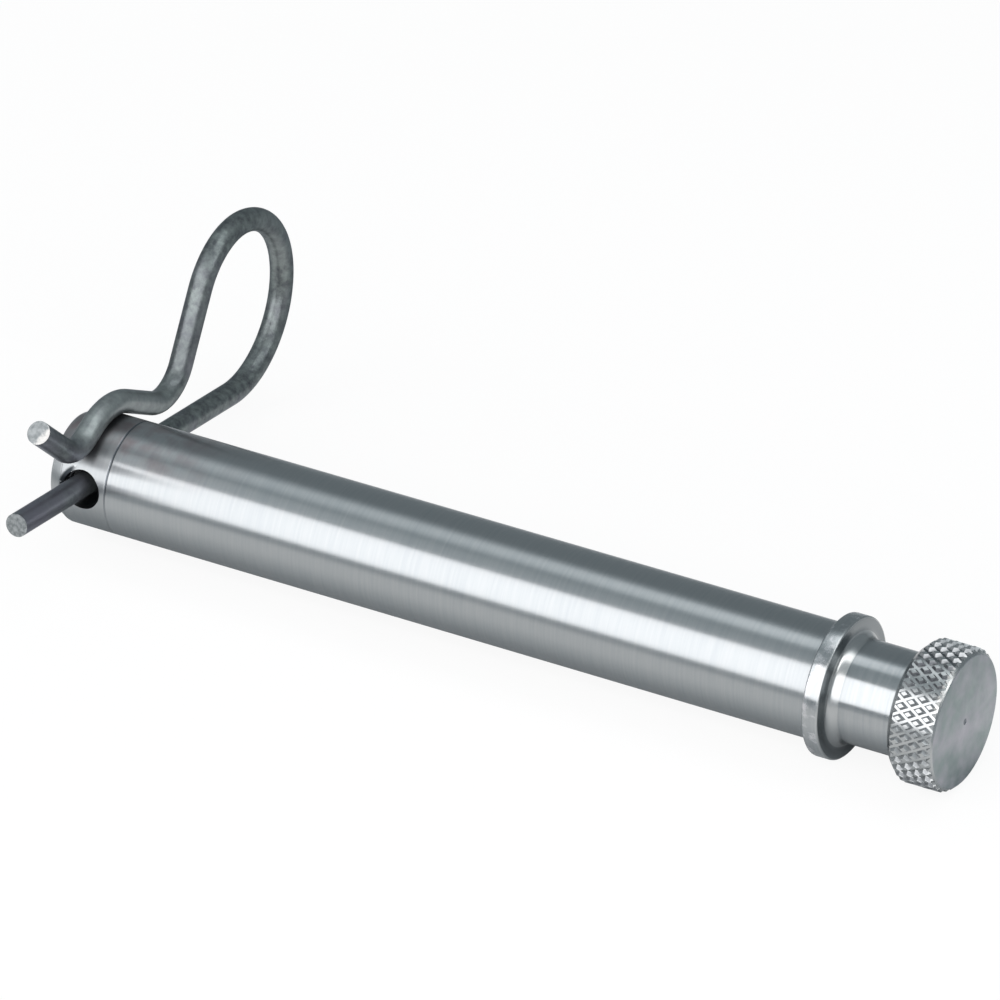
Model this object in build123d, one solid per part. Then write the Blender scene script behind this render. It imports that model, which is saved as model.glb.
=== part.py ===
from build123d import *
import os
from math import asin, atan2, cos, degrees, hypot, pi, radians, sin, sqrt, tan

# Hitch pin: a turned steel pin with a collar and a knurled grip, and the bent wire
# spring clip that keeps it in place.
# Millimetres, +Z up. X runs along the pin from its tip to its head, and the origin is
# on the pin's axis at the seating face of the collar. The part lies on its side, on
# the collar, the tip and the clip's ring.

# Shank, from the collar's seating face to the tip
shank_diameter = 15.875
shank_length = 116.0
tip_chamfer_length = 1.9
tip_chamfer_height = 1.0
scribe_from_tip = 9.05
scribe_width = 0.55
scribe_depth = 0.13

# Cross hole for the clip
hole_diameter = 5.6
hole_from_tip = 5.35

# Collar
collar_diameter = 19.5
collar_thickness = 2.35
collar_edge_break = 0.25

# Neck between the collar and the grip
neck_diameter = 14.1
neck_length = 9.55
neck_fillet = 1.6
neck_fillet_wall_share = 0.8

# Knurled grip
grip_diameter = 19.5
grip_length = 7.05
grip_back_chamfer = 1.3
grip_front_chamfer = 0.75
centre_mark_diameter = 1.0
centre_mark_depth = 0.25

# Knurl of pointed diamonds. Its grooves follow helices of both directions, at about
# the angle given, so that whole rows of diamonds fit between the grip's chamfers.
knurl_teeth = 37
knurl_helix_angle = 32.0
knurl_depth = 0.45

# Wire clip. Its centreline lies in one plane, square to the pin. In that plane the
# first axis follows the straight leg towards the ring, and the second points to the
# side of the waved leg, with zero on the pin's axis.
wire_diameter = 3.3
leg_overhang = 23.6
ring_distance = 31.8
ring_radius = 12.7
ring_shoulder_radius = 10.65
ring_side_heading = 247.4
waist_bend_radius = 5.9
saddle_start_angle = 68.6
saddle_end_angle = 124.0
pinch_distance = 4.85
pinch_bend_radius = 5.0
flare_heading = 144.6
flare_length = 11.9

# Clearances of the clip on the pin. The leg lies loose in its hole, nearer to the tip.
leg_seat_clearance = 0.65
leg_shift_to_tip = 0.4
saddle_clearance = 0.1

# Worked out from the sizes above
shank_radius = shank_diameter / 2
collar_radius = collar_diameter / 2
neck_radius = neck_diameter / 2
grip_radius = grip_diameter / 2
hole_radius = hole_diameter / 2
wire_radius = wire_diameter / 2
tip_x = -shank_length
grip_x = collar_thickness + neck_length
face_x = grip_x + grip_length
hole_x = tip_x + hole_from_tip
clip_x = hole_x - leg_shift_to_tip
leg_play = hole_radius - wire_radius - leg_seat_clearance
leg_lift = sqrt(leg_play**2 - leg_shift_to_tip**2)
saddle_radius = shank_radius + wire_radius + saddle_clearance


def turned(outline):
    """Solid of revolution about X from a list of (x, radius) corners."""
    return revolve(make_face(Polyline(*outline, close=True)), Axis.X)


def shank():
    """Plain bearing length with its lead-in chamfer."""
    return turned([
        (tip_x, 0),
        (tip_x, shank_radius - tip_chamfer_height),
        (tip_x + tip_chamfer_length, shank_radius),
        (0, shank_radius),
        (0, 0),
    ])


def scribed_line():
    """Fine V groove round the shank, to be cut away."""
    middle = tip_x + scribe_from_tip
    top = shank_radius + scribe_depth
    return turned([
        (middle - scribe_width, top),
        (middle, shank_radius - scribe_depth),
        (middle + scribe_width, top),
    ])


def collar_and_neck():
    """Collar, and the neck that runs into it with a fillet."""
    outline = [
        (0, 0),
        (0, collar_radius - collar_edge_break),
        (collar_edge_break, collar_radius),
        (collar_thickness - collar_edge_break, collar_radius),
        (collar_thickness, collar_radius - collar_edge_break),
        (collar_thickness, neck_radius),
        (grip_x, neck_radius),
        (grip_x, 0),
    ]
    profile = make_face(Polyline(*outline, close=True))
    corner = profile.vertices().sort_by_distance((collar_thickness, neck_radius))[0]
    wall = collar_radius - collar_edge_break - neck_radius
    profile = fillet(corner, min(neck_fillet, neck_fillet_wall_share * wall))
    return revolve(profile, Axis.X)


def knurl_ring(x, even_radius, odd_radius):
    """Points round the grip at x, two for each tooth, at radii that take turns."""
    half_tooth = 180 / knurl_teeth
    return [
        Vector(x, odd_radius if step % 2 else even_radius, 0).rotate(Axis.X, step * half_tooth)
        for step in range(2 * knurl_teeth)
    ]


def knurl_rings():
    """Rings of peaks and pits, between the plain rims of the grip's two chamfers."""
    band_start = grip_x + grip_back_chamfer
    band = grip_length - grip_back_chamfer - grip_front_chamfer
    half_tooth = pi * grip_radius / knurl_teeth
    rows = max(1, round(band * tan(radians(knurl_helix_angle)) / half_tooth))
    root_radius = grip_radius - knurl_depth
    back_rim = grip_radius - grip_back_chamfer
    front_rim = grip_radius - grip_front_chamfer
    rings = [knurl_ring(grip_x, back_rim, back_rim)]
    for row in range(rows + 1):
        x = band_start + band * row / rows
        if row % 2:
            rings.append(knurl_ring(x, root_radius, grip_radius))
        else:
            rings.append(knurl_ring(x, grip_radius, root_radius))
    rings.append(knurl_ring(face_x, front_rim, front_rim))
    return rings


def triangle(*corners):
    return Face(Wire.make_polygon(corners))


def knurled_grip():
    """Grip with a small hollow in the middle of its end face. Between two rings each
    groove runs from pit to pit, across the square that they form with two peaks."""
    rings = knurl_rings()
    faces = [Face(Wire.make_polygon(rings[0])), Face(Wire.make_polygon(rings[-1]))]
    for row, (ring, next_ring) in enumerate(zip(rings, rings[1:])):
        for step in range(len(ring)):
            near, far = ring[step - 1], ring[step]
            next_near, next_far = next_ring[step - 1], next_ring[step]
            if (row + step) % 2:
                faces += [triangle(near, far, next_far), triangle(near, next_far, next_near)]
            else:
                faces += [triangle(near, far, next_near), triangle(far, next_far, next_near)]
    return Solid(Shell(faces)) - turned([
        (face_x - centre_mark_depth, 0),
        (face_x, centre_mark_diameter / 2),
        (face_x, 0),
    ])


def floor_drop(x):
    """Depth of the surface that the part lies on below the pin's axis."""
    low_end = tip_x + tip_chamfer_length
    share = (x - low_end) / (face_x - grip_front_chamfer - low_end)
    return shank_radius + share * (grip_radius - shank_radius)


def leg_slope():
    """Angle by which the straight leg drops towards the ring as the part lies."""
    centre_height = leg_lift + ring_radius
    reach = hypot(ring_distance, centre_height)
    ring_outside = ring_radius + wire_radius
    rise = ring_outside - floor_drop(clip_x)
    return degrees(atan2(centre_height, ring_distance) - asin(rise / reach))


def clip_plane(x):
    """Plane square to the pin at x, with its first axis along the straight leg."""
    slope = radians(leg_slope())
    return Plane(origin=(x, 0, 0), x_dir=(0, cos(slope), -sin(slope)), z_dir=(1, 0, 0))


def cross_hole():
    """Drill through the pin, along the clip's straight leg."""
    leg_direction = clip_plane(hole_x).x_dir
    drill = Plane(origin=(hole_x, 0, 0), z_dir=leg_direction)
    return drill * Cylinder(hole_radius, 2 * shank_diameter)


def pin():
    body = shank() + collar_and_neck() + knurled_grip()
    return body - scribed_line() - cross_hole()


def polar(radius, angle):
    return Vector(radius * cos(radians(angle)), radius * sin(radians(angle)))


def crossing(start, heading, other, other_heading):
    """Where the lines through two points, at two headings in degrees, cross."""
    along = polar(1, heading)
    across = polar(1, other_heading)
    gap = other - start
    turn = along.X * across.Y - along.Y * across.X
    return start + along * ((gap.X * across.Y - gap.Y * across.X) / turn)


def clip_centreline():
    """Straight leg, round ring, waist, saddle over the shank, pinch and flared end."""
    leg = Line((-leg_overhang, leg_lift), (ring_distance, leg_lift))
    ring = CenterArc((ring_distance, leg_lift + ring_radius), ring_radius, -90, 180)
    shoulder_centre = Vector(ring_distance, leg_lift + 2 * ring_radius - ring_shoulder_radius)
    shoulder_turn = ring_side_heading - 180
    shoulder = CenterArc(shoulder_centre, ring_shoulder_radius, 90, shoulder_turn)
    side_start = shoulder_centre + polar(ring_shoulder_radius, 90 + shoulder_turn)
    saddle_start = polar(saddle_radius, saddle_start_angle)
    saddle_end = polar(saddle_radius, saddle_end_angle)
    waist = crossing(side_start, ring_side_heading, saddle_start, saddle_start_angle + 90)
    pinch = saddle_end + polar(pinch_distance, saddle_end_angle + 90)
    flare_end = pinch + polar(flare_length, flare_heading)
    side = FilletPolyline(side_start, waist, saddle_start, radius=waist_bend_radius)
    saddle = CenterArc((0, 0), saddle_radius, saddle_start_angle, saddle_end_angle - saddle_start_angle)
    tail = FilletPolyline(saddle_end, pinch, flare_end, radius=pinch_bend_radius)
    return Wire(Curve() + [leg, ring, shoulder, side, saddle, tail])


def clip():
    path = clip_plane(clip_x) * clip_centreline()
    section = Plane(origin=path @ 0, z_dir=path % 0) * Circle(wire_radius)
    return sweep(section, path=path)


def main():
    os.makedirs("parts", exist_ok=True)
    export_step(pin(), "parts/turned_pin.step")
    export_step(clip(), "parts/spring_clip.step")


main()
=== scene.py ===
# Hitch pin with its spring clip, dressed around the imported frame.
# Lengths in the dictionaries are millimetres, but metres for the camera and the lamps.
# Angles are degrees.
import bmesh
import bpy
from math import asin, atan2, ceil, cos, hypot, pi, radians, sin, tan
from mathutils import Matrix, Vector


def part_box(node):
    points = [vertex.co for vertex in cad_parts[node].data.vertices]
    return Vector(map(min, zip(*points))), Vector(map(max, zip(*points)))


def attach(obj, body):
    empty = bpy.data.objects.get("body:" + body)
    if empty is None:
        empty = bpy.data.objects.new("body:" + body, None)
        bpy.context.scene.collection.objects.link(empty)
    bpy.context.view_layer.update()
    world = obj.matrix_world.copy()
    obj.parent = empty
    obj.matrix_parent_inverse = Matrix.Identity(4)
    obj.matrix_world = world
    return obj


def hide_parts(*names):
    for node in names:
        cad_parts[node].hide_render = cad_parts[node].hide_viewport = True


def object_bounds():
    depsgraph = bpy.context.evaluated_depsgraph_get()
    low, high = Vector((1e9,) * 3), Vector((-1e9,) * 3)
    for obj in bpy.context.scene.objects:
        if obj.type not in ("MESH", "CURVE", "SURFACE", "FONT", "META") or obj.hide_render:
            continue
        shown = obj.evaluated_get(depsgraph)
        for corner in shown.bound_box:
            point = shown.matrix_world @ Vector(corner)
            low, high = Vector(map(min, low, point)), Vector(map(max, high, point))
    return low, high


mm = 0.001
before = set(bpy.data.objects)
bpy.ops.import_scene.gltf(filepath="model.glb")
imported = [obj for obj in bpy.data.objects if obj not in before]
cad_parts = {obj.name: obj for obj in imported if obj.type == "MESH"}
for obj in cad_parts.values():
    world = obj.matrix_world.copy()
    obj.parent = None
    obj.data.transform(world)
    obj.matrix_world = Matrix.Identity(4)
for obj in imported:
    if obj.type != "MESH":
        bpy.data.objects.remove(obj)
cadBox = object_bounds()
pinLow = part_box("turned_pin")[0]


# Helpers for modelling

meshing = {
    "weld": 0.0001,  # points nearer to each other than this become one
    "largeRounding": 0.5,  # from this size up a rounding has the larger number of steps
    "largeSteps": 10,
    "smallSteps": 3,
}


def startFresh():
    if bpy.context.object is not None and bpy.context.object.mode != "OBJECT":
        bpy.ops.object.mode_set(mode="OBJECT")
    bpy.ops.object.select_all(action="DESELECT")


def choose(piece):
    startFresh()
    piece.select_set(True)
    bpy.context.view_layer.objects.active = piece


def edit(piece):
    choose(piece)
    bpy.ops.object.mode_set(mode="EDIT")


def leaveEdit():
    bpy.ops.object.mode_set(mode="OBJECT")


def settle(piece):  # place, turn and size go into the mesh
    choose(piece)
    bpy.ops.object.transform_apply(location=True, rotation=True, scale=True)


def pick(piece, kind, test):  # kind is verts, edges or faces
    modes = {"verts": "VERT", "edges": "EDGE", "faces": "FACE"}
    bpy.ops.mesh.select_mode(type=modes[kind])
    bpy.ops.mesh.select_all(action="DESELECT")
    mesh = bmesh.from_edit_mesh(piece.data)
    for part in getattr(mesh, kind):
        if test(part):
            part.select_set(True)
    bmesh.update_edit_mesh(piece.data)


def extrude(step):  # in metres
    bpy.ops.mesh.extrude_region_move(TRANSFORM_OT_translate={"value": step})


def weld():
    bpy.ops.mesh.select_all(action="SELECT")
    bpy.ops.mesh.remove_doubles(threshold=meshing["weld"] * mm)
    bpy.ops.mesh.normals_make_consistent(inside=False)


def boolean(piece, other, operation):
    choose(piece)
    cut = piece.modifiers.new("cut", "BOOLEAN")
    cut.operation = operation
    cut.solver = "EXACT"
    cut.object = other
    bpy.ops.object.modifier_apply(modifier=cut.name)
    bpy.data.objects.remove(other)


def smooth(piece, angle):
    choose(piece)
    bpy.ops.object.shade_smooth_by_angle(angle=radians(angle))


def softened(corners):
    # corners are (along, radius, rounding); a rounding swaps the corner for a short curve
    points = []
    for index, (along, radius, rounding) in enumerate(corners):
        here = Vector((along, radius))
        if rounding == 0:
            points.append(here)
            continue
        before = (Vector(corners[index - 1][:2]) - here).normalized() * rounding
        after = (Vector(corners[index + 1][:2]) - here).normalized() * rounding
        large = rounding >= meshing["largeRounding"]
        steps = meshing["largeSteps"] if large else meshing["smallSteps"]
        for step in range(steps + 1):
            share = step / steps
            points.append(here + before * (1 - share) ** 2 + after * share ** 2)
    return points


def turnedBar(name, points, sides):
    # draws the outline point by point, then spins it round the pin's axis
    first = points[0]
    startFresh()
    bpy.ops.mesh.primitive_plane_add(size=mm, location=(first.x * mm, 0, first.y * mm))
    piece = bpy.context.object
    piece.name = name
    settle(piece)
    edit(piece)
    bpy.ops.mesh.select_mode(type="VERT")
    bpy.ops.mesh.select_all(action="SELECT")
    bpy.ops.mesh.merge(type="CENTER")
    for last, point in zip(points, points[1:]):
        step = (point - last) * mm
        bpy.ops.mesh.extrude_vertices_move(
            TRANSFORM_OT_translate={"value": (step.x, 0, step.y)})
    bpy.ops.mesh.select_all(action="SELECT")
    bpy.ops.mesh.spin(steps=sides, angle=2 * pi, center=(0, 0, 0), axis=(1, 0, 0))
    weld()
    leaveEdit()
    return piece


# Turned pin

pinSizes = {
    "sides": 192,
    "smoothAngle": 42,
    "tip": pinLow.x / mm,
    "tipChamferLength": 1.9,
    "tipChamferHeight": 1.0,
    "tipRounding": 0.25,
    "shankRadius": 7.9375,
    "shankLengths": 5,  # parts between the scribed line and the collar
    "scribeFromTip": 9.05,
    "scribeWidth": 0.4,
    "scribeDepth": 0.09,
    "scribeEdge": 0.03,
    "scribeRoot": 0.05,
    "holeFromTip": 5.35,
    "holeDiameter": 5.6,
    "holeBreak": 0.16,
    "holeSides": 96,
    "holeLoops": 20,  # close loops round the cross hole keep its rim tidy
    "holeMargin": 0.5,  # they reach this far past it
    "coneMargin": 1.0,  # the cone that breaks the rim stands this far out of the shank
    "collarRadius": 9.75,
    "collarThickness": 2.35,
    "collarRounding": 0.3,
    "neckRadius": 7.05,
    "neckLength": 9.55,
    "neckFillet": 1.6,
    "neckRoot": 0.5,
    "plug": 1.0,  # the body reaches this far into the grip, and is as much wider there
    "gripRadius": 9.75,
    "gripLength": 7.05,
    "gripSides": 222,  # six for each tooth of the knurl
    "gripEdge": 0.12,
    "backChamfer": 1.3,
    "backEdge": 0.2,
    "frontChamfer": 0.75,
    "markRadius": 0.5,
    "markDepth": 0.25,
    "markEdge": 0.05,
}

knurl = {
    "teeth": 37,
    "slant": 32.0,
    "turn": -2.2,  # sets where the net begins round the pin
    "middle": 14.99,  # place of the net's middle along the pin
    "rows": 4,
    "cuts": 15,
    "depth": 0.5,
    "profile": (1.0, 1.0, 1.0, 0.66, 0.33),  # shares of the depth, from a groove to a flat top
}


def scribedPlace():
    return pinSizes["tip"] + pinSizes["scribeFromTip"]


def holePlace():
    return pinSizes["tip"] + pinSizes["holeFromTip"]


def neckEnd():
    return pinSizes["collarThickness"] + pinSizes["neckLength"]


def gripEnd():
    return neckEnd() + pinSizes["gripLength"]


def bodyOutline():
    s = pinSizes
    shank = s["shankRadius"]
    line = scribedPlace()
    half = s["scribeWidth"] / 2
    reach = s["holeDiameter"] / 2 + s["holeMargin"]
    corners = [
        (s["tip"], 0, 0),
        (s["tip"], shank - s["tipChamferHeight"], s["tipRounding"]),
        (s["tip"] + s["tipChamferLength"], shank, s["tipRounding"]),
    ]
    for loop in range(s["holeLoops"] + 1):
        corners.append((holePlace() - reach + 2 * reach * loop / s["holeLoops"], shank, 0))
    corners += [
        (line - half, shank, s["scribeEdge"]),
        (line, shank - s["scribeDepth"], s["scribeRoot"]),
        (line + half, shank, s["scribeEdge"]),
    ]
    for length in range(1, s["shankLengths"]):
        corners.append((line * (1 - length / s["shankLengths"]), shank, 0))
    corners += [
        (0, shank, 0),
        (0, s["collarRadius"], s["collarRounding"]),
        (s["collarThickness"], s["collarRadius"], s["collarRounding"]),
        (s["collarThickness"], s["neckRadius"], s["neckFillet"]),
        (neckEnd(), s["neckRadius"], s["neckRoot"]),
        (neckEnd(), s["neckRadius"] + s["plug"], 0),
        (neckEnd() + s["plug"], s["neckRadius"] + s["plug"], 0),
        (neckEnd() + s["plug"], 0, 0),
    ]
    return softened(corners)


def gripOutline():
    s = pinSizes
    start, end = neckEnd(), gripEnd()
    return softened([
        (start, 0, 0),
        (start, s["gripRadius"] - s["backChamfer"], s["backEdge"]),
        (start + s["backChamfer"], s["gripRadius"], s["gripEdge"]),
        (end - s["frontChamfer"], s["gripRadius"], s["gripEdge"]),
        (end, s["gripRadius"] - s["frontChamfer"], s["gripEdge"]),
        (end, s["markRadius"], s["markEdge"]),
        (end - s["markDepth"], 0, 0),
    ])


def knurlNet():
    pitch = 2 * pi * pinSizes["gripRadius"] / knurl["teeth"]
    rowLength = pitch / tan(radians(knurl["slant"]))
    start = knurl["middle"] - rowLength * knurl["rows"] / 2
    return {"pitch": pitch, "rowLength": rowLength, "start": start}


def netDistance(place, net):
    # how far a point is from the nearest groove, where 0 is on it and 1 on a diamond's middle
    turn = atan2(place.z, place.y) - radians(knurl["turn"])
    around = turn * pinSizes["gripRadius"] / net["pitch"]
    along = (place.x / mm - net["start"]) / net["rowLength"]
    first, second = (around + along) % 1, (around - along) % 1
    return 2 * min(first, 1 - first, second, 1 - second)


def sinkGrooves(piece, net):
    step = 2 / (knurl["cuts"] + 1)
    edit(piece)
    bpy.ops.mesh.select_mode(type="VERT")
    for level, share in enumerate(knurl["profile"]):
        sink = 1 - knurl["depth"] * share / pinSizes["gripRadius"]
        low = (level - 0.5) * step
        pick(piece, "verts", lambda vert: low < netDistance(vert.co, net) <= low + step)
        bpy.ops.transform.resize(value=(1, sink, sink), center_override=(0, 0, 0))
    leaveEdit()


def knurledBar():
    # A net of diamonds wrapped round the grip. Its lines are the bottoms of the grooves.
    k = knurl
    net = knurlNet()
    radius = pinSizes["gripRadius"] * mm
    corners = k["teeth"] * (k["rows"] + 1)  # the middles that the poke adds come after these

    def crossesDiamond(edge):
        return max(vert.index for vert in edge.verts) < corners and len(edge.link_faces) == 2

    startFresh()
    bpy.ops.mesh.primitive_circle_add(
        vertices=k["teeth"], radius=radius, location=(net["start"] * mm, 0, 0),
        rotation=(0, pi / 2, 0))
    piece = bpy.context.object
    edit(piece)
    for row in range(k["rows"]):
        extrude((net["rowLength"] * mm, 0, 0))
    bpy.ops.mesh.select_all(action="SELECT")
    bpy.ops.mesh.poke()
    leaveEdit()
    edit(piece)
    pick(piece, "edges", crossesDiamond)
    bpy.ops.mesh.dissolve_edges(use_verts=False)
    bpy.ops.mesh.select_all(action="SELECT")
    bpy.ops.mesh.subdivide(number_cuts=k["cuts"])
    leaveEdit()
    wrap = piece.modifiers.new("wrap", "CAST")
    wrap.cast_type = "CYLINDER"
    wrap.use_z = False
    wrap.use_radius_as_size = False
    wrap.factor = 1
    wrap.size = radius
    bpy.ops.object.modifier_apply(modifier=wrap.name)
    settle(piece)
    piece.rotation_euler.x = radians(k["turn"])
    settle(piece)
    sinkGrooves(piece, net)
    edit(piece)
    pick(piece, "edges", lambda edge: len(edge.link_faces) == 1)
    bpy.ops.mesh.fill_holes(sides=0)
    bpy.ops.mesh.select_all(action="SELECT")
    bpy.ops.mesh.normals_make_consistent(inside=False)
    leaveEdit()
    return piece


def drillHole(piece):
    # a cylinder along the clip's straight leg, then a cone on each side to break the rim
    s = pinSizes
    slope = legSlope()
    middle = Vector((holePlace(), 0, 0))
    radius = s["holeDiameter"] / 2
    wide = radius + s["holeBreak"] + s["coneMargin"]
    out = s["shankRadius"] + s["coneMargin"] - wide / 2
    startFresh()
    bpy.ops.mesh.primitive_cylinder_add(
        vertices=s["holeSides"], radius=radius * mm, depth=4 * s["shankRadius"] * mm,
        location=middle * mm, rotation=(pi / 2 - slope, 0, 0))
    boolean(piece, bpy.context.object, "DIFFERENCE")
    for side in (1, -1):
        bpy.ops.mesh.primitive_cone_add(
            vertices=s["holeSides"], radius1=0, radius2=wide * mm, depth=wide * mm,
            location=(middle + clipWays()[0] * side * out) * mm,
            rotation=(-side * pi / 2 - slope, 0, 0))
        boolean(piece, bpy.context.object, "DIFFERENCE")


def makePin():
    piece = turnedBar("turnedPin", bodyOutline(), pinSizes["sides"])
    drillHole(piece)
    grip = turnedBar("grip", gripOutline(), pinSizes["gripSides"])
    boolean(grip, knurledBar(), "INTERSECT")
    boolean(piece, grip, "UNION")
    smooth(piece, pinSizes["smoothAngle"])
    return piece


# Spring clip

clipSizes = {
    "sides": 32,
    "smoothAngle": 40,
    "bendStep": 3.0,  # a bend is made in steps of this angle at most
    "wireRadius": 1.65,
    "legOverhang": 23.6,
    "legLift": 0.3,
    "legShift": 0.4,  # the leg lies this much nearer to the tip than the hole's middle
    "ringDistance": 31.8,
    "ringRadius": 12.7,
    "shoulderRadius": 10.65,
    "sideHeading": 247.4,
    "waistRadius": 5.9,
    "saddleStart": 68.6,
    "saddleEnd": 124.0,
    "saddleClearance": 0.1,
    "pinchDistance": 4.85,
    "pinchRadius": 5.0,
    "flareHeading": 144.6,
    "flareLength": 11.9,
}


def clipPlace():
    return holePlace() - clipSizes["legShift"]


def legSlope():
    # how steeply the straight leg drops towards the ring that the part lies on, in radians
    c = clipSizes
    s = pinSizes
    centreHeight = c["legLift"] + c["ringRadius"]
    lowEnd = s["tip"] + s["tipChamferLength"]
    share = (clipPlace() - lowEnd) / (gripEnd() - s["frontChamfer"] - lowEnd)
    drop = s["shankRadius"] + share * (s["gripRadius"] - s["shankRadius"])
    rise = c["ringRadius"] + c["wireRadius"] - drop
    reach = hypot(c["ringDistance"], centreHeight)
    return atan2(centreHeight, c["ringDistance"]) - asin(rise / reach)


def clipWays():  # along the straight leg to the ring, and square to it, to the saddle's side
    slope = legSlope()
    return Vector((0, cos(slope), -sin(slope))), Vector((0, sin(slope), cos(slope)))


def polar(radius, angle):
    return Vector((radius * cos(radians(angle)), radius * sin(radians(angle))))


def crossing(start, heading, other, otherHeading):
    along = polar(1, heading)
    across = polar(1, otherHeading)
    gap = other - start
    return start + along * (gap.cross(across) / along.cross(across))


def trim(radius, angle):  # what a bend takes off the straight length on each of its sides
    return radius * abs(tan(radians(angle / 2)))


def bendList():
    # the wire as a bender makes it, in the clip's own plane: (length, 0) is a straight run,
    # and (radius, angle) is a bend
    c = clipSizes
    saddleRadius = pinSizes["shankRadius"] + c["wireRadius"] + c["saddleClearance"]
    shoulderHeight = c["legLift"] + 2 * c["ringRadius"] - c["shoulderRadius"]
    shoulder = Vector((c["ringDistance"], shoulderHeight))
    shoulderTurn = c["sideHeading"] - 180
    sideStart = shoulder + polar(c["shoulderRadius"], 90 + shoulderTurn)
    saddleStart = polar(saddleRadius, c["saddleStart"])
    waist = crossing(sideStart, c["sideHeading"], saddleStart, c["saddleStart"] + 90)
    waistTurn = c["saddleStart"] + 90 - c["sideHeading"]
    waistTrim = trim(c["waistRadius"], waistTurn)
    pinchTurn = c["flareHeading"] - c["saddleEnd"] - 90
    pinchTrim = trim(c["pinchRadius"], pinchTurn)
    return [
        (c["legOverhang"] + c["ringDistance"], 0),
        (c["ringRadius"], 180),
        (c["shoulderRadius"], shoulderTurn),
        ((waist - sideStart).length - waistTrim, 0),
        (c["waistRadius"], waistTurn),
        ((saddleStart - waist).length - waistTrim, 0),
        (saddleRadius, c["saddleEnd"] - c["saddleStart"]),
        (c["pinchDistance"] - pinchTrim, 0),
        (c["pinchRadius"], pinchTurn),
        (c["flareLength"] - pinchTrim, 0),
    ]


def wireWalk():
    # follows the bends from the leg's free end: a step for each run, a pivot and angle for
    # each bend, and then the place and heading of the wire's other end
    place = Vector((-clipSizes["legOverhang"], clipSizes["legLift"]))
    heading = 0.0
    moves = []
    for size, angle in bendList():
        if angle == 0:
            step = polar(1, heading) * size
            moves.append((step, 0))
            place = place + step
            continue
        side = 90 if angle > 0 else -90
        pivot = place + polar(size, heading + side)
        moves.append((pivot, angle))
        heading += angle
        place = pivot + polar(size, heading - side)
    return moves, place, heading


def makeClip():
    c = clipSizes
    legWay, sideWay = clipWays()
    middle = Vector((clipPlace() * mm, 0, 0))

    def lay(flat):
        return (legWay * flat.x + sideWay * flat.y) * mm

    startFresh()
    bpy.ops.mesh.primitive_circle_add(
        vertices=c["sides"], radius=c["wireRadius"] * mm, fill_type="NGON",
        location=middle + lay(Vector((-c["legOverhang"], c["legLift"]))),
        rotation=(pi / 2 - legSlope(), 0, 0))
    piece = bpy.context.object
    piece.name = "springClip"
    settle(piece)
    edit(piece)
    bpy.ops.mesh.select_mode(type="FACE")
    bpy.ops.mesh.select_all(action="SELECT")
    moves = wireWalk()[0]
    for move, angle in moves:
        if angle == 0:
            extrude(lay(move))
        else:
            bpy.ops.mesh.spin(
                steps=ceil(abs(angle) / c["bendStep"]), angle=-radians(angle),
                center=middle + lay(move), axis=(1, 0, 0))
    weld()
    leaveEdit()
    smooth(piece, c["smoothAngle"])
    return piece


# Shader maths

class Socket:  # a shader socket that plain expressions can use
    def __init__(self, nodeTree, output=None):
        self.nodeTree = nodeTree
        self.output = output

    def node(self, kind, settings=None, inputs=None, out=0):
        made = self.nodeTree.nodes.new(kind)
        for name, value in (settings or {}).items():
            setattr(made, name, value)
        for name, value in (inputs or {}).items():
            if isinstance(value, Socket):
                self.nodeTree.links.new(value.output, made.inputs[name])
            else:
                made.inputs[name].default_value = value
        return Socket(self.nodeTree, made.outputs[out] if made.outputs else None)

    def outputs(self, *names):  # more outputs of the same node
        return [Socket(self.nodeTree, self.output.node.outputs[name]) for name in names]

    def objectPlace(self):
        return self.node("ShaderNodeTexCoord", out="Object")

    def axes(self):  # a place as three numbers, in millimetres
        split = self.node("ShaderNodeSeparateXYZ", inputs={0: self})
        return [axis / mm for axis in split.outputs("X", "Y", "Z")]

    def vector(self, x, y, z):
        return self.node("ShaderNodeCombineXYZ", inputs={0: x, 1: y, 2: z})

    def noise(self, scale, detail, roughness=0.5):
        return self.node("ShaderNodeTexNoise", inputs={
            "Vector": self, "Scale": scale, "Detail": detail, "Roughness": roughness})

    def mix(self, share, first, second):
        return self.node(
            "ShaderNodeMix", {"data_type": "RGBA"}, {0: share, 6: first, 7: second}, out=2)

    def mixShaders(self, share, first, second):
        return self.node("ShaderNodeMixShader", inputs={0: share, 1: first, 2: second})

    def toSurface(self):  # the shader goes to the material's output
        self.node("ShaderNodeOutputMaterial", inputs={"Surface": self})

    def ramp(self, low, high):  # 0 at low, 1 at high, with a soft start and end
        return self.node(
            "ShaderNodeMapRange", {"interpolation_type": "SMOOTHSTEP"}, {0: self, 1: low, 2: high})

    def fade(self, low, high):
        return 1 - self.ramp(low, high)

    def above(self, value):
        return self.maths("GREATER_THAN", self, value)

    def between(self, low, high):
        return self.above(low) - self.above(high)

    def larger(self, other):
        return self.maths("MAXIMUM", self, other)

    def magnitude(self, other):
        return (self * self + other * other) ** 0.5

    def swing(self, gain):  # a noise made to vary about 0
        return (self - 0.5) * gain

    def clamp(self):
        return self.node("ShaderNodeClamp", inputs={0: self})

    def maths(self, operation, first, second):
        return self.node("ShaderNodeMath", {"operation": operation}, {0: first, 1: second})

    def __abs__(self):
        return self.maths("ABSOLUTE", self, 0.0)

    def __add__(self, other):
        return self.maths("ADD", self, other)

    def __radd__(self, other):
        return self.maths("ADD", other, self)

    def __sub__(self, other):
        return self.maths("SUBTRACT", self, other)

    def __rsub__(self, other):
        return self.maths("SUBTRACT", other, self)

    def __mul__(self, other):
        return self.maths("MULTIPLY", self, other)

    def __rmul__(self, other):
        return self.maths("MULTIPLY", other, self)

    def __truediv__(self, other):
        return self.maths("DIVIDE", self, other)

    def __pow__(self, other):
        return self.maths("POWER", self, other)


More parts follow.
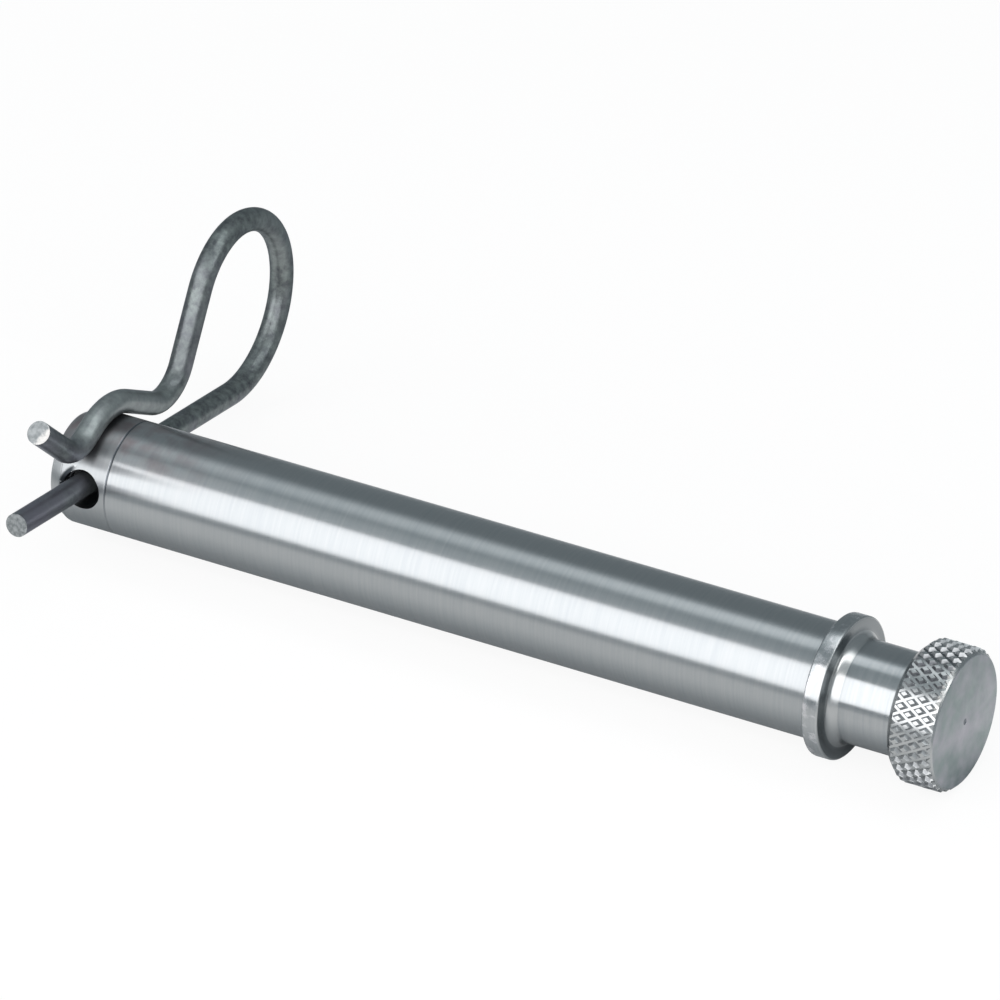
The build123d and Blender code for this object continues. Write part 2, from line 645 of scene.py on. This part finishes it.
def newMaterial(name):
    material = bpy.data.materials.new(name)
    material.use_nodes = True
    material.node_tree.nodes.clear()
    return material, Socket(material.node_tree)


def inClipPlane(y, z):  # along the clip's straight leg, and square to it
    return [y * way.y + z * way.z for way in clipWays()]


# Turned steel

steelLook = {
    "dark": (0.325, 0.35, 0.365, 1),
    "light": (0.41, 0.425, 0.43, 1),
    "tint": (0.25, 0.19, 0.195, 1),
    "chatter": (0.62, 0.62, 0.64, 1),
    "seatShade": (0.20, 0.22, 0.23, 1),
    "scribedShade": (0.14, 0.155, 0.17, 1),
    "clipShade": (0.035, 0.035, 0.04, 1),
    "burrShade": (0.03, 0.035, 0.04, 1),
    "burrGlint": (0.55, 0.57, 0.58, 1),
    # painted highlight on the fillet and the grip's front chamfer
    "fillet": (0.60, 0.60, 0.59, 1),
    # painted shade in the knurl's grooves: on their sides, deeper low down and on the upper half,
    # and at their bottoms near the top
    "grooveSide": (0.36, 0.375, 0.385, 1),
    "lowGrooveShade": (0.15, 0.16, 0.17, 1),
    "highGrooveShade": (0.20, 0.21, 0.225, 1),
    "grooveBottom": (0.17, 0.18, 0.19, 1),
    "faceDark": (0.27, 0.32, 0.32, 1),
    "faceLight": (0.43, 0.43, 0.465, 1),
    # painted shade in the centre mark
    "pit": (0.17, 0.185, 0.205, 1),
    "tintShare": 0.8,
    "clipShadeShare": 0.8,
    "scribedLeast": 0.1,  # what is left of the scribed line's shade on the pin's underside
    "landRoughness": 0.4,
    "shankRoughness": 0.31,
    "headRoughness": 0.25,
    "knurlRoughness": 0.24,
    "grooveRoughness": 0.42,
    "faceRoughness": 0.5,
    "anisotropy": 0.9,
    "anisotropicTurn": 0.25,
    "bumpStrength": 0.15,
    "bumpDepth": 0.02,
}

steelNoise = {
    "coarsePitch": 0.4,  # of the turning marks, along the pin
    "finePitch": 0.12,
    "markLength": 9.0,  # and round it
    "markDetail": 3.0,
    "cloudScale": 650.0,  # scales are cycles in a metre
    "cloudDetail": 4.0,
    "patchScale": 300.0,
    "patchDetail": 3.0,
    "coarseGain": 1.3,  # gains are contrasts
    "fineGain": 0.4,
    "cloudGain": 2.4,
    "chatterGain": 2.5,
    "tintGain": 3.0,
    "tintStart": 0.35,
    "burrSplit": 0.48,
    "facePatchGain": 2.4,
    "faceCloudGain": 0.5,
    "shankRoughnessGain": 0.05,
    "collarRoughnessGain": 0.1,
    "faceRoughnessGain": 0.2,
}

steelZones = {  # a pair is the low and high end of a soft edge
    "skin": 0.02,  # a mask of a form starts this far inside it
    "lineWidth": 0.28,
    "lineHeight": (-3.0, 4.0),
    "collarRadius": 9.6,
    "collarEnd": 0.2,
    "seatStart": 0.12,
    "seatPast": 0.5,  # masks at the collar's back face reach this far past it
    "seatRadius": (7.4, 8.2),
    "rimStart": 0.3,
    "rimRadius": 9.5,
    "filletStart": 0.12,
    "faceStart": 0.06,
    "pitStart": 0.5,
    "pitRadius": 0.42,
    "grooveFoot": (0.02, 0.07),  # above the bottom of a groove
    "grooveTop": (-0.07, -0.02),  # from the flat tops of the diamonds
    "bottomTop": (0.01, 0.06),
    "lowGrooves": (-6.5, -1.5),  # heights below which the grooves get painted shade
    "highGrooves": (-6.2, -4.8),  # on the upper half their sides get painted shade from here,
    "crestFront": (-2.2, -0.8),  # to here, and their bottoms get painted shade from here
    "crestBack": (3.0, 6.0),  # to here
    "shineHeight": (4.5, 6.5),  # painted highlight: bright strip of the fillet and the grip's front chamfer
    "shineBack": (-3.0, -0.8),
    "clipShadeWidth": (1.2, 2.3),  # painted shadow under the clip, from the clip's plane
    "clipShadeHeight": (3.0, 5.0),
    "burrInside": (2.6, 2.75),  # from the hole's middle
    "burrOutside": (3.2, 3.6),
    "burrAlong": (-1.9, -0.9),
    "burrHeight": (-0.6, 0.4),
    "tintHeight": (5.0, 7.4),
    "tintLength": (2.0, 22.0),  # past the scribed line
}


def shifted(place, pair):
    return place + pair[0], place + pair[1]


def pinForms(x, radius):
    # a mask for each form of the pin
    s = pinSizes
    zones = steelZones
    seat = s["collarThickness"]
    chamfer = x.above(gripEnd() - s["frontChamfer"])
    grip = x.above(neckEnd() + zones["skin"])
    grooveBottom = s["gripRadius"] - knurl["depth"]
    rim = x.between(seat - zones["rimStart"], seat + zones["seatPast"])
    collar = x.between(zones["skin"], seat - zones["collarEnd"])
    seatFace = x.between(seat - zones["seatStart"], seat + zones["seatPast"])
    foot = radius.ramp(*shifted(grooveBottom, zones["grooveFoot"]))
    top = radius.ramp(*shifted(s["gripRadius"], zones["grooveTop"]))
    return {
        "shank": x.above(scribedPlace()),
        "head": x.above(zones["skin"]),
        "collar": collar * radius.above(zones["collarRadius"]),
        "seatFace": seatFace * radius.ramp(*zones["seatRadius"]),
        "rim": rim * radius.above(zones["rimRadius"]),
        "fillet": x.between(seat + zones["filletStart"], seat + s["neckFillet"]),
        "grip": grip,
        "knurled": grip * (1 - chamfer),
        "grooveSide": grip * foot * (1 - top),
        "grooveBottom": radius.fade(*shifted(grooveBottom, zones["bottomTop"])),
        "chamfer": chamfer,
        "face": x.above(gripEnd() - zones["faceStart"]),
        "pit": x.above(gripEnd() - zones["pitStart"]) * (1 - radius.above(zones["pitRadius"])),
    }


# painted shade in the scribed groove, strongest on the pin's top and faint on its underside
def scribedShadeMask(x, z):
    half = steelZones["lineWidth"] / 2
    least = steelLook["scribedLeast"]
    strip = x.between(scribedPlace() - half, scribedPlace() + half)
    return strip * (z.ramp(*steelZones["lineHeight"]) * (1 - least) + least)


def clipShadeMask(x, over):  # painted shadow under the clip's saddle
    away = abs(x - clipPlace())
    return away.fade(*steelZones["clipShadeWidth"]) * over.ramp(*steelZones["clipShadeHeight"])


def burrAndGlintMask(x, y, over):  # torn metal on the near rim of the cross hole, with painted glints and painted shade on its upper front corner
    zones = steelZones
    fromHole = x - holePlace()
    ring = fromHole.magnitude(over)
    rim = ring.ramp(*zones["burrInside"]) * ring.fade(*zones["burrOutside"])
    upperCorner = fromHole.fade(*zones["burrAlong"]) * over.ramp(*zones["burrHeight"])
    return rim * upperCorner * (1 - y.above(0.0))


def tintMask(x, z, patch):  # brown stain on top, next to the scribed line
    zones = steelZones
    stain = ((patch - steelNoise["tintStart"]) * steelNoise["tintGain"]).clamp()
    length = shifted(scribedPlace(), zones["tintLength"])
    return z.ramp(*zones["tintHeight"]) * x.fade(*length) * stain


def turnedSteel(tree, axes, forms, noises):
    # the lathe's marks and their shine round the pin, with the shank's stains, painted shade in
    # the scribed line and under the clip, and painted glints on the hole's burr
    look = steelLook
    gains = steelNoise
    x, y, z = axes
    cloud, patch, coarse, fine = noises
    over = inClipPlane(y, z)[1]
    marks = (coarse.swing(gains["coarseGain"]) + fine.swing(gains["fineGain"]) + 0.5).clamp()
    burrAndGlint = tree.mix(cloud.above(gains["burrSplit"]), look["burrShade"], look["burrGlint"])
    chatter = cloud.swing(gains["chatterGain"]).clamp()
    tone = tree.mix(marks, look["dark"], look["light"])
    tone = tree.mix(tintMask(x, z, patch) * look["tintShare"], tone, look["tint"])
    tone = tree.mix(forms["collar"] * chatter, tone, look["chatter"])
    tone = tree.mix(forms["seatFace"], tone, look["seatShade"])
    tone = tree.mix(scribedShadeMask(x, z), tone, look["scribedShade"])
    tone = tree.mix(clipShadeMask(x, over) * look["clipShadeShare"], tone, look["clipShade"])
    tone = tree.mix(burrAndGlintMask(x, y, over), tone, burrAndGlint)
    rough = look["landRoughness"] + marks.swing(gains["shankRoughnessGain"])
    rough = rough + forms["shank"] * (look["shankRoughness"] - look["landRoughness"])
    rough = rough + forms["head"] * (look["headRoughness"] - look["shankRoughness"])
    rough = rough + forms["collar"] * cloud.swing(gains["collarRoughnessGain"])
    bump = tree.node("ShaderNodeBump", inputs={
        "Strength": look["bumpStrength"], "Distance": look["bumpDepth"] * mm,
        "Height": coarse + fine})
    roundPin = tree.node("ShaderNodeTangent", {"direction_type": "RADIAL", "axis": "X"})
    return tree.node("ShaderNodeBsdfPrincipled", inputs={
        "Base Color": tone, "Metallic": 1.0, "Roughness": rough,
        "Anisotropic": look["anisotropy"], "Anisotropic Rotation": look["anisotropicTurn"],
        "Tangent": roundPin, "Normal": bump})


def pressedSteel(tree, axes, forms, noises):
    # the grip, the collar's rim and the fillet, which shine alike in all directions, with painted
    # shade in the knurl's grooves and a painted highlight on the fillet and the front chamfer
    look = steelLook
    zones = steelZones
    gains = steelNoise
    y, z = axes[1:]
    cloud, patch = noises[:2]
    sides = forms["grooveSide"] * (1 - forms["chamfer"])
    pastCrest = y.ramp(*zones["crestFront"])
    # painted shade: darker groove sides on the upper half, and darker groove bottoms near the top
    high = z.above(0.0) * y.ramp(*zones["highGrooves"]) * (1 - pastCrest)
    crestShade = z.above(0.0) * pastCrest * y.fade(*zones["crestBack"])
    paintedHighlight = forms["fillet"] + forms["chamfer"] * (1 - forms["face"])
    paintedHighlight = paintedHighlight * z.ramp(*zones["shineHeight"]) * y.fade(*zones["shineBack"])
    mottle = patch.swing(gains["facePatchGain"]) + cloud.swing(gains["faceCloudGain"]) + 0.5
    bottoms = forms["knurled"] * forms["grooveBottom"]
    tone = tree.mix(sides, look["light"], look["grooveSide"])
    tone = tree.mix(sides * z.fade(*zones["lowGrooves"]), tone, look["lowGrooveShade"])
    tone = tree.mix(sides * high, tone, look["highGrooveShade"])
    tone = tree.mix(bottoms * crestShade, tone, look["grooveBottom"])
    tone = tree.mix(paintedHighlight, tone, look["fillet"])
    face = tree.mix(mottle.clamp(), look["faceDark"], look["faceLight"])
    tone = tree.mix(forms["face"], tone, face)
    tone = tree.mix(forms["pit"], tone, look["pit"])
    rough = forms["grooveSide"] * (look["grooveRoughness"] - look["knurlRoughness"])
    faceChange = look["faceRoughness"] - look["knurlRoughness"]
    rough = rough + forms["face"] * (cloud.swing(gains["faceRoughnessGain"]) + faceChange)
    return tree.node("ShaderNodeBsdfPrincipled", inputs={
        "Base Color": tone, "Metallic": 1.0, "Roughness": rough + look["knurlRoughness"]})


def steelMaterial():
    n = steelNoise
    material, tree = newMaterial("turnedSteel")
    place = tree.objectPlace()
    axes = place.axes()
    x, y, z = axes
    radius = y.magnitude(z)
    run = x + radius  # grows along the shank and across the flat faces alike
    forms = pinForms(x, radius)

    def marks(pitch):
        stretched = tree.vector(run / pitch, y / n["markLength"], z / n["markLength"])
        return stretched.noise(1.0, n["markDetail"])

    cloud = place.noise(n["cloudScale"], n["cloudDetail"])
    cloud = (cloud.swing(n["cloudGain"]) + 0.5).clamp()
    patch = place.noise(n["patchScale"], n["patchDetail"])
    noises = cloud, patch, marks(n["coarsePitch"]), marks(n["finePitch"])
    turned = turnedSteel(tree, axes, forms, noises)
    pressed = pressedSteel(tree, axes, forms, noises)
    share = (forms["grip"] + forms["rim"] + forms["fillet"]).clamp()
    tree.mixShaders(share, turned, pressed).toSurface()
    return material


# Spring wire

wireLook = {
    # dark is the mottle's dark tone and also the colour of the painted shade
    "dark": (0.075, 0.08, 0.09, 1),
    "light": (0.24, 0.275, 0.265, 1),
    "violet": (0.185, 0.185, 0.215, 1),
    "paintedLight": (0.40, 0.43, 0.43, 1),
    "cut": (0.36, 0.38, 0.385, 1),
    "cutDarkAndShade": (0.16, 0.175, 0.18, 1),
    "cutHighlight": (0.52, 0.515, 0.50, 1),
    "edge": (0.5, 0.52, 0.55, 1),
    "metal": 0.8,
    "roughness": 0.34,
    "bumpStrength": 0.6,
    "bumpDepth": 0.06,
    "grainBump": 0.5,  # share of the grain in the bump
    "saddleLight": 0.4,
    "farLight": 0.13,
    "slopeShade": 0.38,
    "farShade": 0.2,
    "legViolet": 0.45,
    "saddleNotViolet": 0.3,
    "flareShade": 0.45,
}

wireNoise = {
    "cloudScale": 800.0,  # scales are cycles in a metre
    "cloudDetail": 4.0,
    "cloudRoughness": 0.65,
    "patchScale": 120.0,
    "patchDetail": 2.0,
    "grainScale": 1700.0,
    "grainDetail": 3.0,
    "cloudGain": 2.2,  # gains are contrasts
    "patchGain": 3.0,
    "cutGain": 3.0,
    "cutMiddle": 0.6,
    "cloudRoughnessGain": 0.2,
    "grainRoughnessGain": 0.1,
    "splitGain": 1.6,  # millimetres by which the grain breaks up the painted highlight's edge
}

wireZones = {  # a pair is the low and high end of a soft edge, in the clip's own plane
    "endDepth": 0.03,
    # painted light on the saddle and the ring's far top, painted shade on the ring's near side and
    # far lower part
    "saddleHeight": (4.0, 8.0),
    "saddleStart": (-13.0, -7.0),
    "saddleEnd": (9.0, 17.0),
    "legEnd": (-9.0, -5.0),  # of its free part, in front of the pin
    "slopeLow": (5.5, 8.5),
    "slopeHigh": (15.0, 20.0),
    "slopeStart": (14.0, 16.0),
    "slopeEnd": (24.0, 27.0),
    "farLowStart": (36.0, 40.0),
    "farLowTop": (8.0, 14.0),
    "farHighStart": (32.0, 36.0),
    "farHighFoot": (14.0, 18.0),
    "brightSlant": 0.5,  # the painted highlight on the flare's cut end leans by this
    "brightEdge": (0.4, 1.2),
}


def wireTone(tree, along, over, cloud, patch):
    # mottled dark wire and a more violet leg, with painted light on the saddle and the ring's far
    # top, and painted shade on the ring's near side and far lower part
    look = wireLook
    zones = wireZones
    saddle = over.ramp(*zones["saddleHeight"])
    saddle = saddle * along.ramp(*zones["saddleStart"]) * along.fade(*zones["saddleEnd"])
    leg = along.fade(*zones["legEnd"])
    slope = over.ramp(*zones["slopeLow"]) * over.fade(*zones["slopeHigh"])
    slope = slope * along.ramp(*zones["slopeStart"]) * along.fade(*zones["slopeEnd"])
    farLow = along.ramp(*zones["farLowStart"]) * over.fade(*zones["farLowTop"])
    farHigh = along.ramp(*zones["farHighStart"]) * over.ramp(*zones["farHighFoot"])
    mottle = (cloud.swing(wireNoise["cloudGain"]) + 0.5).clamp()
    paintedLight = saddle * look["saddleLight"] + farHigh * look["farLight"]
    shaded = slope * look["slopeShade"] + farLow * look["farShade"]
    violet = leg * look["legViolet"] - saddle * look["saddleNotViolet"]
    violet = (violet + patch.swing(wireNoise["patchGain"])).clamp()
    tone = tree.mix(mottle, look["dark"], look["light"])
    tone = tree.mix(paintedLight, tone, look["paintedLight"])
    tone = tree.mix(shaded, tone, look["dark"])
    return tree.mix(violet, tone, look["violet"])


def cutEnds(tree, x, along, over, grain):
    # a mask of the wire's two cut ends, and their tone, with painted shade and a painted highlight
    # on the flare's end
    look = wireLook
    zones = wireZones
    end, heading = wireWalk()[1:]
    ahead = polar(1, heading)
    leg = (0.0 - along).above(clipSizes["legOverhang"] - zones["endDepth"])
    flare = (along * ahead.x + over * ahead.y).above(end.dot(ahead) - zones["endDepth"])
    across = x - clipPlace() - (over - end.y) * zones["brightSlant"]
    highlight = (across + grain.swing(wireNoise["splitGain"])).ramp(*zones["brightEdge"])
    mottle = (grain.swing(wireNoise["cutGain"]) + wireNoise["cutMiddle"]).clamp()
    tone = tree.mix(mottle, look["cutDarkAndShade"], look["cut"])
    tone = tree.mix(flare * look["flareShade"], tone, look["cutDarkAndShade"])
    tone = tree.mix(flare * highlight, tone, look["cutHighlight"])
    return leg.larger(flare), tone


def wireMaterial():
    look = wireLook
    n = wireNoise
    material, tree = newMaterial("springWire")
    place = tree.objectPlace()
    x, y, z = place.axes()
    along, over = inClipPlane(y, z)
    cloud = place.noise(n["cloudScale"], n["cloudDetail"], n["cloudRoughness"])
    patch = place.noise(n["patchScale"], n["patchDetail"])
    grain = place.noise(n["grainScale"], n["grainDetail"])
    cutMask, cutTone = cutEnds(tree, x, along, over, grain)
    tone = tree.mix(cutMask, wireTone(tree, along, over, cloud, patch), cutTone)
    rough = look["roughness"] + cloud.swing(n["cloudRoughnessGain"])
    rough = rough + grain.swing(n["grainRoughnessGain"])
    bump = tree.node("ShaderNodeBump", inputs={
        "Strength": look["bumpStrength"], "Distance": look["bumpDepth"] * mm,
        "Height": cloud + grain * look["grainBump"]})
    tree.node("ShaderNodeBsdfPrincipled", inputs={
        "Base Color": tone, "Metallic": look["metal"], "Specular Tint": look["edge"],
        "Roughness": rough, "Normal": bump}).toSurface()
    return material


# Studio

studio = {
    "cameraPlace": (0.53838, -0.98559, 0.78519),
    "cameraTurn": (56.0738, 1.8997, 29.5524),
    "lens": 378.3,
    "sensor": 36,
    "clipStart": 0.05,
    "world": (0.29, 0.33, 0.35, 1),
    "boxMiddle": (0.05, 0, 0),
    "boxDistance": 0.7,
    "boxLength": 2.0,
}

softboxes = [  # low and high are angles above the front horizon, seen from the pin
    {"name": "key", "low": 5.0, "high": 59, "radiance": 2.5, "colour": (1.0, 0.97, 0.97)},
    {"name": "lowSky", "low": 62, "high": 88, "radiance": 0.2, "colour": (0.92, 1.0, 1.03)},
    {"name": "highSky", "low": 88, "high": 121, "radiance": 0.3, "colour": (0.92, 1.0, 1.03)},
    {"name": "top", "low": 101, "high": 111, "radiance": 0.2, "colour": (1.0, 1.0, 1.0)},
]

panels = [
    {
        "name": "side",
        "place": (0.70, 0.075, 0.42),
        "aim": (0.015, 0, 0),
        "width": 0.36,
        "height": 0.16,
        "radiance": 2.5,
    },
    {
        "name": "head",
        "place": (0.19, 0.0668, 0.3436),
        "aim": (0.19, 0, 0),
        "width": 0.62,
        "height": 0.136,
        "radiance": 1.45,
    },
    {
        "name": "tip",
        "place": (-0.56, -0.0965, 0.336),
        "aim": (-0.56, 0, 0),
        "width": 0.6,
        "height": 0.123,
        "radiance": 0.7,
    },
]

floorLook = {
    "matt": (0.86, 0.85, 0.845, 1),
    "mirroredShade": (0.42, 0.44, 0.45, 1),
    "white": (1, 1, 1, 1),
    "glow": 0.9,
    "shaded": (3.0, 24.0),  # distances from the part in which the painted shadow that the metal sees fades
    "faded": (55.0, 120.0),  # distances in which the painted lit patch of floor ends
    "behind": 1.7,  # it ends sooner behind the part
    "beyond": 3.0,  # and past its two ends
    "size": 8000.0,
    "edge": 34.0,  # past this line, under the clip's ring, the floor falls away a little,
    "run": 32.0,  # so that it never cuts the ring as the clip is pulled off
    "fall": 6.5,
}


def makeCamera():
    turn = [radians(angle) for angle in studio["cameraTurn"]]
    startFresh()
    bpy.ops.object.camera_add(location=studio["cameraPlace"], rotation=turn)
    camera = bpy.context.object
    camera.data.lens = studio["lens"]
    camera.data.sensor_width = studio["sensor"]
    camera.data.clip_start = studio["clipStart"]
    bpy.context.scene.camera = camera


def makeLamp(name, place, aim, width, height, radiance, colour=(1, 1, 1)):
    startFresh()
    bpy.ops.object.light_add(type="AREA", location=place)
    lamp = bpy.context.object
    lamp.name = name
    lamp.data.shape = "RECTANGLE"
    lamp.data.size = width
    lamp.data.size_y = height
    lamp.data.color = colour
    lamp.data.energy = radiance * pi * width * height
    lamp.rotation_euler = (Vector(place) - Vector(aim)).to_track_quat("Z", "Y").to_euler()


def makeLamps():
    distance = studio["boxDistance"]
    middle = Vector(studio["boxMiddle"])
    for box in softboxes:
        climb = radians(box["low"] + box["high"]) / 2
        spread = radians(box["high"] - box["low"]) / 2
        place = middle + Vector((0, -cos(climb), sin(climb))) * distance
        height = 2 * distance * tan(spread)
        makeLamp(
            box["name"], place, middle, studio["boxLength"], height,
            box["radiance"], box["colour"])
    for panel in panels:
        makeLamp(**panel)


def floorMaterial():
    look = floorLook
    material, tree = newMaterial("paleFloor")
    x, y = tree.objectPlace().axes()[:2]
    rays = tree.node("ShaderNodeLightPath")
    camera, glossy, through = rays.outputs(
        "Is Camera Ray", "Is Glossy Ray", "Is Transmission Ray")
    middle = (cadBox[0][0] + cadBox[1][0]) / 2 / mm
    reach = cadBox[1][0] / mm - middle
    past = (abs(x - middle) - reach).larger(0.0) * look["beyond"]
    out = (y * look["behind"]).larger(0.0 - y)
    away = out.magnitude(past)
    paintedLitPatch = away.ramp(*look["shaded"]) * away.fade(*look["faded"])
    up = tree.vector(0.0, 0.0, 1.0)  # the falling strip is shaded as if it were level
    matt = tree.node("ShaderNodeBsdfDiffuse", inputs={"Color": look["matt"], "Normal": up})
    mirroredShade = tree.node("ShaderNodeBsdfDiffuse", inputs={"Color": look["mirroredShade"], "Normal": up})
    glow = tree.node("ShaderNodeEmission", inputs={"Color": look["white"], "Strength": 1.0})
    seen = tree.mixShaders(camera * look["glow"], matt, glow)
    # what the metal sees: a painted shadow close to the part and a painted lit patch around it
    mirrored = tree.mixShaders(paintedLitPatch, mirroredShade, glow)
    tree.mixShaders((glossy + through).clamp(), seen, mirrored).toSurface()
    return material


def makeFloor():
    look = floorLook
    edge, size = look["edge"] * mm, look["size"] * mm
    startFresh()
    bpy.ops.mesh.primitive_plane_add(size=size, location=(0, edge - size / 2, pinLow.z))
    floor = bpy.context.object
    floor.name = "floor"
    settle(floor)
    edit(floor)
    pick(floor, "edges", lambda side: min(vert.co.y for vert in side.verts) > edge - mm)
    extrude((0, look["run"] * mm, -look["fall"] * mm))
    extrude((0, size / 2, 0))
    leaveEdit()
    floor.data.materials.append(floorMaterial())


def makeStudio():
    makeCamera()
    makeFloor()
    makeLamps()
    scene = bpy.context.scene
    scene.world = bpy.data.worlds.new("studioWorld")
    scene.world.use_nodes = True
    background = scene.world.node_tree.nodes["Background"]
    background.inputs["Color"].default_value = studio["world"]
    scene.view_settings.view_transform = "Standard"


makeStudio()
print("studio ready")
pin = makePin()
print("pin", len(pin.data.polygons), "faces")
clip = makeClip()
print("clip", len(clip.data.polygons), "faces")
pin.data.materials.append(steelMaterial())
clip.data.materials.append(wireMaterial())
print("materials ready")
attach(pin, "pin")
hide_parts("turned_pin")
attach(clip, "clip")
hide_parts("spring_clip")
